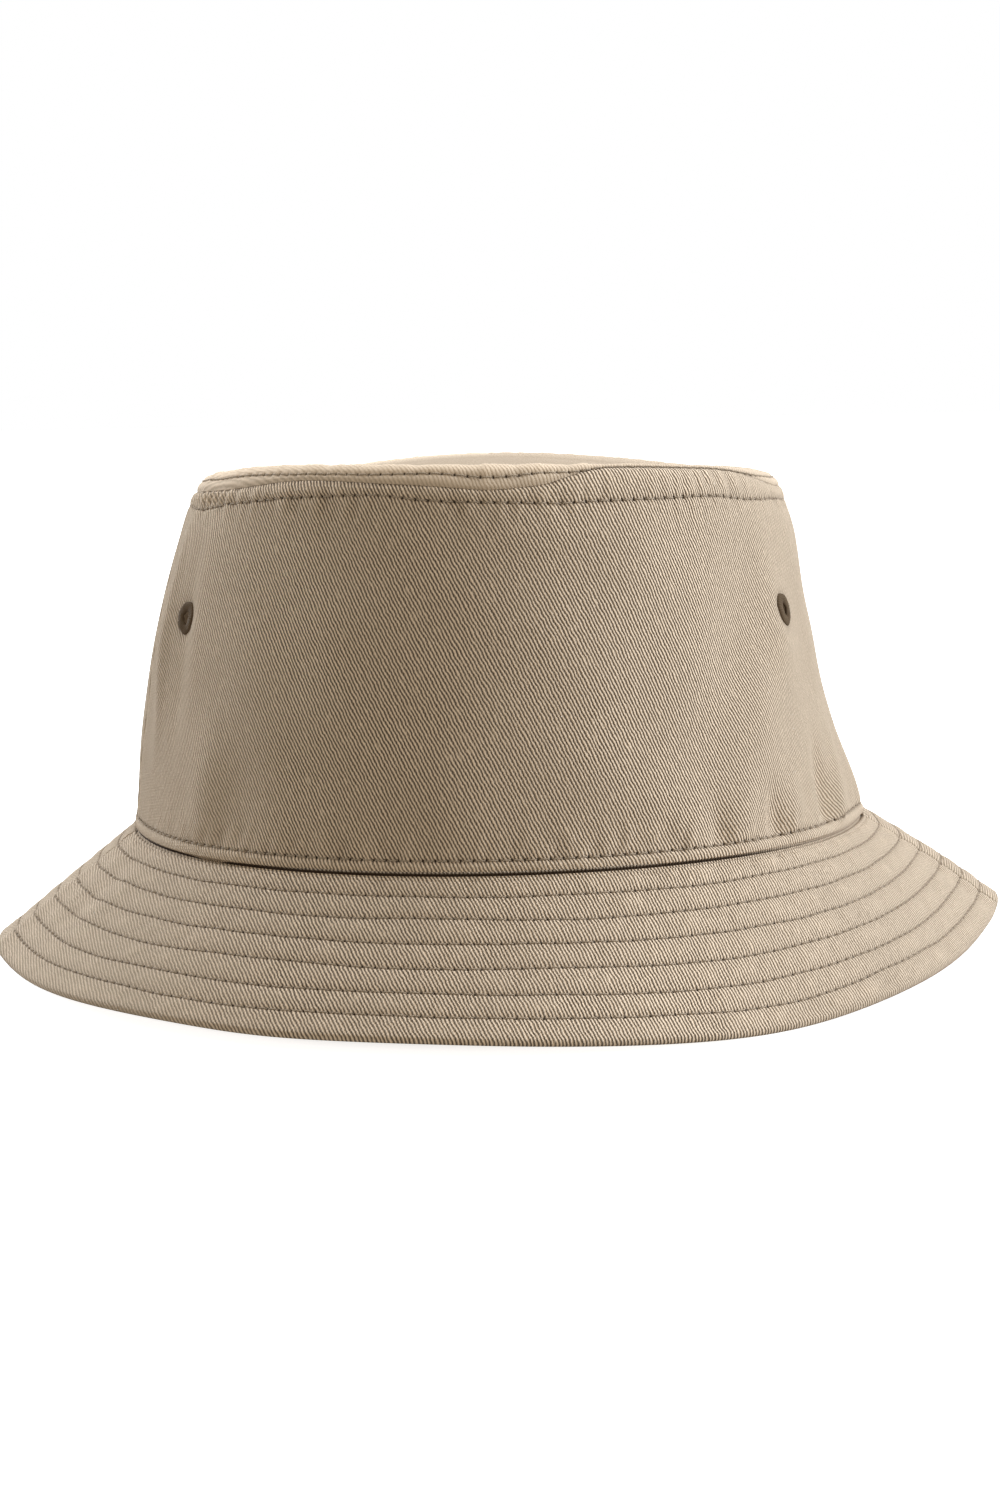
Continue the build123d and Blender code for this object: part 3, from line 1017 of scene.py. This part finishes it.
def wall_panel(end):
    """Front or rear half of the crown wall."""
    start, stop, middle = PANELS[end]
    fine = fine_runs(0.35, WALL_RUN, [WALL_BASE_ROW, WALL_RUN - TIP_ROW - 2.0, WALL_RUN - TIP_ROW], 1.1)
    fine = sorted(set(fine + [0.6, WALL_RUN - 0.25, WALL_RUN - 0.6, WALL_RUN - 4.9]))
    face = [(-0.6, -1.1, 0.0), (-0.1, -0.8, 0.0), (0.05, -0.3, 0.0), (0.12, 0.1, 0.2), (0.22, 0.3, 0.6)]
    face += [(run, 0.3 * (1.0 - step(run, 0.5, 4.5)), 1.0) for run in fine]
    back = level(np.linspace(WALL_RUN - 0.3, 0.6, 30), -CLOTH)
    back += [(0.4, -CLOTH - 0.2, 0.0), (-0.4, -1.1 - CLOTH, 0.0)]
    piece = strip(f"crown_{end}_panel_cloth", azimuth_steps(start, stop, 0.75), face + back,
                  wall_place, wall_flat(middle), TWILL, rows_of=wall_rows, relief_of=wall_relief)
    stands_for(piece, [f"crown_{end}_panel"])
    return piece


def tip_mesh(azimuths, runs, under_runs):
    """Grid, points and faces of the tip: rings to the middle and back underneath, closed by two fans."""
    azimuth, run = np.meshgrid(azimuths, np.concatenate([runs, under_runs]))
    above = np.arange(run.shape[0])[:, None] < len(runs)
    share = np.broadcast_to(np.where(above, 1.0, 0.0), run.shape)
    points = tip_place(azimuth, run, (share - 1.0) * CLOTH, share).reshape(-1, 3)
    columns = len(azimuths)
    middle_row = len(runs) - 1
    quads = ring_faces(run.shape[0], columns, True)
    quads = quads[quads[:, 0] // columns != middle_row]
    around = np.arange(columns)
    fans = []
    for row, turn in ((middle_row, 1), (middle_row + 1, -1)):
        centre = points[row * columns + around].mean(axis=0)
        points = np.concatenate([points, centre[None]])
        first = row * columns
        fan = [first + around, first + (around + 1) % columns, np.full(columns, len(points) - 1)]
        fans.append(np.stack(fan, axis=-1)[:, ::turn])
    return azimuth, run, points, [quads, *fans]


def tip_panel():
    """Oval top of the crown, from its seam to the middle."""
    last = RIM_RUN + SEAM_HALF_X - RIM_INSET
    runs = fine_runs(0.0, 14.0, [0.5, 1.2, RIM_ROW], 0.9)
    runs = sorted(set(runs + [0.25, 0.6] + list(np.linspace(15.5, last - 1.0, 30))))
    under_runs = [last - 1.0, *np.linspace(last - 8.0, 0.3, 16)]
    azimuth, run, points, faces = tip_mesh(azimuth_steps(-np.pi, np.pi, 0.9)[:-1], runs, under_runs)
    reach = np.maximum(last - run, 0.0)
    flat = np.zeros((len(points), 2))
    flat[:run.size] = oval(azimuth, reach, reach * SEAM_HALF_Y / SEAM_HALF_X, 0.0)[..., :2].reshape(-1, 2)
    # only the upper face shows stitches, with their painted shade, and the painted shade and highlight of its
    # relief
    azimuth, run = azimuth[:len(runs)], run[:len(runs)]
    near_row = np.tile((0.0, FAR_FROM_ROWS), (len(points), 1))
    near_row[:run.size] = np.stack(tip_rows(azimuth, run), axis=-1).reshape(-1, 2)
    # painted highlight along the rim's crest, fading from the front towards the right, and painted shade on
    # the disc inside the rim
    crest_highlight_strength = CREST_HIGHLIGHT * (1.0 - 0.75 * step(signed_degrees(azimuth), -5.0, 35.0))
    crest = bump(run + 0.75 * seam_wander(azimuth), 4.6, 2.6)
    painted_relief_light = np.zeros(len(points))
    painted_relief_light[:run.size] = (tip_relief(azimuth, run) + crest_highlight_strength * crest - 0.3 * step(run, 8.0, 12.0)).ravel()
    piece = mesh_object("crown_tip_cloth", points, faces, flat, TWILL_PAINTED_LIT, near_row, painted_relief_light)
    stands_for(piece, ["crown_tip"])


def stitch_line(path, up, turns):
    """Mesh arrays of a row of stitches, from its points, the cloth's normals and the turns at them."""
    count = int(round(turns[-1] - turns[0]))
    rng = np.random.default_rng(count)
    # one stitch: shares of its length, how high it stands there and how thick it is
    bend = np.array([0.0, 0.12, 0.3, 0.5, 0.7, 0.88, 1.0])
    arch = np.array([-0.40, -0.08, 0.06, 0.08, 0.06, -0.08, -0.40])
    girths = np.array([0.55, 0.92, 1.0, 1.0, 1.0, 0.92, 0.55]) * THREAD_R
    places = turns[0] + np.arange(count)[:, None] + 0.05 + 0.90 * bend[None, :]
    centre = np.stack([np.interp(places, turns, path[:, k]) for k in range(3)], axis=-1)
    normal = unit(np.stack([np.interp(places, turns, up[:, k]) for k in range(3)], axis=-1))
    beside = unit(np.cross(unit(np.gradient(centre, axis=1)), normal))
    slant = rng.normal(0.0, 0.06, (count, 1)) * (bend - 0.5)[None, :] * 2
    centre = centre + normal * arch[None, :, None] + beside * slant[..., None]
    round_thread = np.arange(THREAD_SIDES) / THREAD_SIDES * TAU
    ring = (np.cos(round_thread)[None, None, :, None] * normal[:, :, None, :] * 0.8
            + np.sin(round_thread)[None, None, :, None] * beside[:, :, None, :])
    points = centre[:, :, None, :] + ring * girths[None, :, None, None]
    uv = np.stack(np.broadcast_arrays(places[:, :, None] * STITCH, round_thread / TAU), axis=-1)
    steps = len(bend)
    section, turn = np.meshgrid(np.arange(steps - 1), np.arange(THREAD_SIDES), indexing="ij")
    here = section * THREAD_SIDES
    ahead = here + THREAD_SIDES
    after = (turn + 1) % THREAD_SIDES
    quad = np.stack([here + turn, here + after, ahead + after, ahead + turn], axis=-1)
    ends = np.stack([np.arange(THREAD_SIDES)[::-1], np.arange(THREAD_SIDES) + (steps - 1) * THREAD_SIDES])
    first = (np.arange(count) * steps * THREAD_SIDES)[:, None, None]
    quads = quad.reshape(1, -1, 4) + first
    caps = ends[None] + first
    return points.reshape(-1, 3), quads.reshape(-1, 4), caps.reshape(-1, THREAD_SIDES), uv.reshape(-1, 2)


def stitching(name, lines, nodes, body="root"):
    """One piece from several rows of stitches, each a path, its normals and its turns."""
    points, quads, caps, uvs, offset = [], [], [], [], 0
    for path, up, turns in lines:
        p, q, c, uv = stitch_line(path, up, turns)
        points.append(p)
        quads.append(q + offset)
        caps.append(c + offset)
        uvs.append(uv)
        offset += len(p)
    faces = [np.concatenate(quads), np.concatenate(caps)]
    piece = mesh_object(name, np.concatenate(points), faces, np.concatenate(uvs), THREAD)
    stands_for(piece, nodes, body)
    return piece


def brim_stitching(end):
    """Stitch rows of one brim panel, on its upper and lower faces."""
    start, stop, _ = PANELS[end]
    azimuth = azimuth_steps(start + 0.001, stop - 0.001, 0.5)
    lines = []
    for row in range(ROWS):
        run = brim_row_run(azimuth, row)
        turns = brim_row_turns(azimuth, row)
        normal = brim_normal(azimuth, run)
        face = brim_surface(azimuth, run)
        lines.append((face - normal * 0.13, normal, turns))
        lines.append((face - normal * (STACK - 0.13), -normal, turns))
    nodes = [f"brim_stitching_{end}", f"brim_stitching_{end}_flap"]
    bends_with_brim(stitching(f"brim_stitching_{end}_thread", lines, nodes, None))


def crown_row(surface, run_of, growth, sink=SINK):
    """Stitch row right round the crown."""
    azimuth = azimuth_steps(-np.pi, np.pi, 0.5)
    run = run_of(azimuth)
    normal = surface_normal(surface, azimuth, run)
    return surface(azimuth, run) - normal * sink, normal, row_turns(azimuth, -np.pi, np.pi, growth)


def base_row_run(azimuth):
    """Run of the row of stitches above the brim seam."""
    return np.full(azimuth.shape, WALL_BASE_ROW)


def side_seam_lines():
    """Stitch rows beside the crown's side seams."""
    lines = []
    run = np.linspace(2.0 * STITCH, 26.0 * STITCH, 160)
    for side in (-1, 1):
        for row in (-SIDE_ROW, SIDE_ROW):
            across = girth(side * SIDE_SEAM) + row / (1.0 - run / WALL_APEX)
            azimuth = np.interp(across, TABLE_LENGTH, TABLE_AZIMUTH)
            normal = surface_normal(crown_surface, azimuth, run)
            lines.append((crown_surface(azimuth, run) - normal * SINK, normal, run / STITCH))
    return lines


def eyelet(side, index, end):
    """Ring of satin stitches round an eyelet hole, with radial threads."""
    azimuth, run = (np.asarray(value) for value in eyelet_places(side)[index])
    centre = crown_surface(azimuth, run)
    small = 0.001
    mm_per_radian = np.linalg.norm(crown_surface(azimuth + small, run) - centre) / small
    threads = 34
    turn, section = np.meshgrid(np.linspace(0, TAU, threads * 8, endpoint=False),
                                np.linspace(0, TAU, 18, endpoint=False))
    middle = (EYELET_R + EYELET_HOLE_R) / 2
    half_width = (EYELET_R - EYELET_HOLE_R) / 2
    ridge = 0.10 * np.abs(np.cos(turn * threads / 2 + 0.25 * np.sin(3 * turn)))
    uneven = 1.0 + 0.05 * np.sin(3 * turn + side) + 0.03 * np.sin(7 * turn)
    radius = middle * uneven + (half_width + ridge) * np.cos(section)
    height = (0.45 + 1.4 * ridge) * np.sin(section) - 0.2
    ring_azimuth = azimuth + radius * np.cos(turn) / mm_per_radian
    ring_run = run + radius * np.sin(turn)
    outward = surface_normal(crown_surface, ring_azimuth, ring_run)
    points = crown_surface(ring_azimuth, ring_run) + outward * height[..., None]
    uv = np.stack([section * half_width, turn / TAU * threads], axis=-1)
    name = f"eyelet_{'left' if side < 0 else 'right'}_{end}"
    piece = mesh_object(f"{name}_thread", points.reshape(-1, 3), [ring_faces(*turn.shape, True)],
                        uv.reshape(-1, 2), EYELET_THREAD)
    stands_for(piece, [name])
    return centre, surface_normal(crown_surface, azimuth, run)


def open_hole(piece, centre, normal):
    """Cuts an eyelet hole through a cloth panel and closes its wall."""
    mesh = bmesh.new()
    mesh.from_mesh(piece.data)
    centre = Vector(centre * MM)
    normal = Vector(normal)
    radius = (EYELET_HOLE_R + HOLE_MARGIN) * MM
    doomed = []
    for face in mesh.faces:
        offset = face.calc_center_median() - centre
        depth = offset.dot(normal)
        if abs(depth) < 4 * MM and (offset - normal * depth).length < radius and len(face.verts) == 4:
            doomed.append(face)
    bmesh.ops.delete(mesh, geom=doomed, context="FACES")
    rim = []
    for edge in mesh.edges:
        if len(edge.link_faces) == 1 and (edge.verts[0].co - centre).length < 5 * MM:
            rim.append(edge)
    bmesh.ops.bridge_loops(mesh, edges=rim)
    mesh.to_mesh(piece.data)
    mesh.free()


BAND_TOP = (SWEATBAND_TOP - SEAM_Z) / np.cos(WALL_LEAN)       # run of the sweatband's top
TAPE_DEPTH = CLOTH + 0.15
TAPE_THICK = 0.4
TAPE_HALF = 6.5


def band_section(low_run, high_run, depth, thick, puff=0.0):
    """Section of a band inside the crown wall, depth below its outer face and puffed out in the middle."""
    runs = np.linspace(low_run, high_run, max(6, int((high_run - low_run) / 1.2)))
    swell = puff * np.sin(np.pi * (runs - low_run) / (high_run - low_run)) ** 0.5
    back = [(run, -depth - thick - s, 0.0) for run, s in zip(runs[::-1], swell[::-1])]
    return level(runs, -depth) + back


def inner_band(node, section, azimuths, closed, material):
    """Band of cloth on the inside of the crown wall."""
    piece = strip(f"{node}_cloth", azimuths, section, wall_place, wall_flat(0.0), material, closed)
    stands_for(piece, [node])


def sweatband():
    """Folded band round the inside of the crown, above the brim seam."""
    section = band_section(0.2, BAND_TOP, CLOTH + 0.3, 0.9, puff=0.7)
    azimuths = azimuth_steps(-np.pi, np.pi, 1.2)[:-1]
    inner_band("sweatband", section, azimuths, True, BAND_CLOTH)


def tapes():
    """Bindings over the tip seam and the side seams."""
    section = band_section(WALL_RUN - 12.0, WALL_RUN - 1.0, TAPE_DEPTH, TAPE_THICK)
    azimuths = azimuth_steps(-np.pi, np.pi, 1.5)[:-1]
    inner_band("tip_seam_tape", section, azimuths, True, TAPE_CLOTH)
    low = BAND_TOP + 1.0
    high = WALL_RUN - 13.0
    section = band_section(low, high, TAPE_DEPTH, TAPE_THICK)
    half = TAPE_HALF / MEAN_RADIUS
    for middle, name in ((-SIDE_SEAM, "left"), (SIDE_SEAM, "right")):
        azimuths = np.linspace(middle - half, middle + half, 12)
        inner_band(f"side_seam_tape_{name}", section, azimuths, False, TAPE_CLOTH)


def label_cloth():
    """Blank satin label that hangs from its hinge line on the sweatband, a little curled."""
    width = LABEL_HIGH[0] - LABEL_LOW[0]
    length = LABEL_HIGH[2] - LABEL_LOW[2]
    across, down = np.meshgrid(np.linspace(-0.5, 0.5, 31), np.linspace(0.0, 1.0, 27))
    curl = -1.6 * down ** 2 + 1.2 * (2 * across) ** 2 * down + 0.2 * np.sin(9 * across) * down
    y = (LABEL_LOW[1] + LABEL_HIGH[1]) / 2 + curl
    thick = 0.24
    front = np.stack([across * width, y - thick / 2, LABEL_HIGH[2] - down * length], axis=-1).reshape(-1, 3)
    back = front + np.array([0.0, thick, 0.0])
    index = np.arange(across.size).reshape(across.shape)
    cell = np.stack([index[:-1, :-1], index[1:, :-1], index[1:, 1:], index[:-1, 1:]], axis=-1).reshape(-1, 4)
    rim = np.concatenate([index[0, :-1], index[:-1, -1], index[-1, :0:-1], index[:0:-1, 0]])
    after = np.roll(rim, -1)
    shift = across.size
    wall = np.stack([rim, after, after + shift, rim + shift], axis=-1)
    faces = [cell, cell[:, ::-1] + shift, wall]
    uv = np.stack([across * width, -down * length], axis=-1).reshape(-1, 2)
    points = np.concatenate([front, back])
    piece = mesh_object("care_label_cloth", points, faces, np.concatenate([uv, uv]), LABEL_SATIN)
    stands_for(piece, ["care_label"], "label")


def label_tack():
    """Short line of stitches that holds the label's top to the sweatband."""
    low, high = corners("care_label_tack")
    x = np.linspace(low[0], high[0], 60)
    path = np.stack([x, np.full(x.shape, LABEL_LOW[1] - 0.2), np.full(x.shape, LABEL_HIGH[2] - 0.6)], axis=-1)
    normal = np.broadcast_to(np.array([0.0, -1.0, 0.0]), path.shape)
    turns = np.linspace(0.0, np.round((high[0] - low[0]) / STITCH), len(x))
    stitching("care_label_tack_thread", [(path, normal, turns)], ["care_label_tack"])


def build_hat():
    """Every piece of the hat."""
    for end in PANELS:
        for layer in ("upper", "under", "interlining"):
            brim_layer(end, layer)
        brim_stitching(end)
    walls = {end: wall_panel(end) for end in PANELS}
    tip_panel()
    for side in (-1, 1):
        for index, end in enumerate(PANELS):
            centre, normal = eyelet(side, index, end)
            open_hole(walls[end], centre, normal)
    under_seam = crown_row(crown_surface, top_row_run, TIP_GROWTH)
    on_rim = crown_row(tip_surface, rim_row_run, TIP_GROWTH)
    stitching("tip_stitching_thread", [under_seam, on_rim], ["tip_stitching"])
    base_line = crown_row(crown_surface, base_row_run, 1.0, sink=-0.12)
    stitching("crown_base_stitching_thread", [base_line], ["crown_base_stitching"])
    stitching("side_seam_stitching_thread", side_seam_lines(), ["side_seam_stitching"])
    sweatband()
    tapes()
    label_cloth()
    label_tack()


# ---------------------------------------------------------------- camera, light and floor

CAMERA_DISTANCE = 700.0
CAMERA_HEIGHT = SEAM_Z + STAND_LIFT + 117.1
CAMERA_PITCH = 0.147
CAMERA_ROLL = -0.020
CAMERA_LENS = 67.9
CAMERA_ASIDE = 0.6


def camera():
    """Camera in front of the hat and a little above it, slightly rolled."""
    data = bpy.data.cameras.new("camera")
    data.lens = CAMERA_LENS
    data.sensor_width = 36.0
    data.clip_start = 0.01
    holder = bpy.data.objects.new("camera", data)
    bpy.context.scene.collection.objects.link(holder)
    turn = Matrix.Rotation(np.pi / 2 - CAMERA_PITCH, 4, "X") @ Matrix.Rotation(CAMERA_ROLL, 4, "Z")
    place = Matrix.Translation(Vector((CAMERA_ASIDE, -CAMERA_DISTANCE, CAMERA_HEIGHT)) * MM)
    holder.matrix_world = place @ turn
    bpy.context.scene.camera = holder


WARM = (1.0, 0.945, 0.86)
COOL = (0.77, 0.86, 1.0)


def soft_light(name, place, size, power, colour):
    """Square studio light aimed at the middle of the hat."""
    data = bpy.data.lights.new(name, "AREA")
    data.size = size
    data.energy = power
    data.color = colour
    lamp = bpy.data.objects.new(name, data)
    bpy.context.scene.collection.objects.link(lamp)
    lamp.location = place
    aim = Vector((0.0, 0.0, 0.06)) - Vector(place)
    lamp.rotation_euler = aim.to_track_quat("-Z", "Y").to_euler()


def studio_world():
    """Warm light from all round; the camera sees plain white instead."""
    world = bpy.data.worlds.new("studio")
    bpy.context.scene.world = world
    world.use_nodes = True
    tree = world.node_tree
    light = tree.nodes["Background"]
    light.inputs["Color"].default_value = (*WARM, 1.0)
    light.inputs["Strength"].default_value = 0.385
    seen = tree.nodes.new("ShaderNodeBackground")
    seen.inputs["Color"].default_value = (1.0, 1.0, 1.0, 1.0)
    path = tree.nodes.new("ShaderNodeLightPath")
    mix = tree.nodes.new("ShaderNodeMixShader")
    tree.links.new(path.outputs["Is Camera Ray"], mix.inputs[0])
    tree.links.new(light.outputs[0], mix.inputs[1])
    tree.links.new(seen.outputs[0], mix.inputs[2])
    tree.links.new(mix.outputs[0], tree.nodes["World Output"].inputs["Surface"])


def floor_material():
    """Floor that glows nearly white, with a painted shadow where the hat covers it."""
    g = Graph("floor_white_painted_shadow")
    brim_edge = (SEAM_HALF_X + BRIM_REACH, SEAM_HALF_Y + BRIM_REACH)
    place = g.scaled(g.place(), (1 / (brim_edge[0] * MM), 1 / (brim_edge[1] * MM), 0.0))
    away = g.node("VectorMath", place, operation="LENGTH").outputs["Value"]     # 1 at the brim's edge
    # painted shadow: the floor's glow drops under the hat
    painted_shadow = g.spread(away, 0.70, 0.93, 0.12, 1.0)
    open_floor = g.spread(away, 1.25, 4.6, 0.88, 1.0)
    g.shader.inputs["Base Color"].default_value = (0.8, 0.8, 0.8, 1.0)
    g.shader.inputs["Roughness"].default_value = 0.9
    g.shader.inputs["Emission Color"].default_value = (1.0, 1.0, 1.0, 1.0)
    g.put(g.shader.inputs["Emission Strength"], g.times(painted_shadow, open_floor))
    return g.material


def floor_plane():
    """Large square floor that the hat stands on."""
    mesh = bpy.data.meshes.new("floor")
    half = 4.0
    square = [(-half, -half, 0), (half, -half, 0), (half, half, 0), (-half, half, 0)]
    mesh.from_pydata(square, [], [(0, 1, 2, 3)])
    mesh.materials.append(floor_material())
    floor = bpy.data.objects.new("floor", mesh)
    bpy.context.scene.collection.objects.link(floor)
    floor.visible_diffuse = False


def studio():
    """White world, pale floor and soft lights, the brightest at the right."""
    bpy.context.scene.view_settings.view_transform = "Standard"
    studio_world()
    soft_light("key_right", (1.2, -0.02, 0.38), 0.7, 21.5, COOL)
    soft_light("rim_left", (-1.05, 0.72, 0.5), 0.6, 18.5, COOL)
    soft_light("top_behind", (0.1, 0.45, 1.35), 0.9, 18.0, COOL)
    soft_light("front_fill", (0.0, -1.3, 0.60), 0.9, 3.2, WARM)
    floor_plane()


camera()
build_hat()
studio()
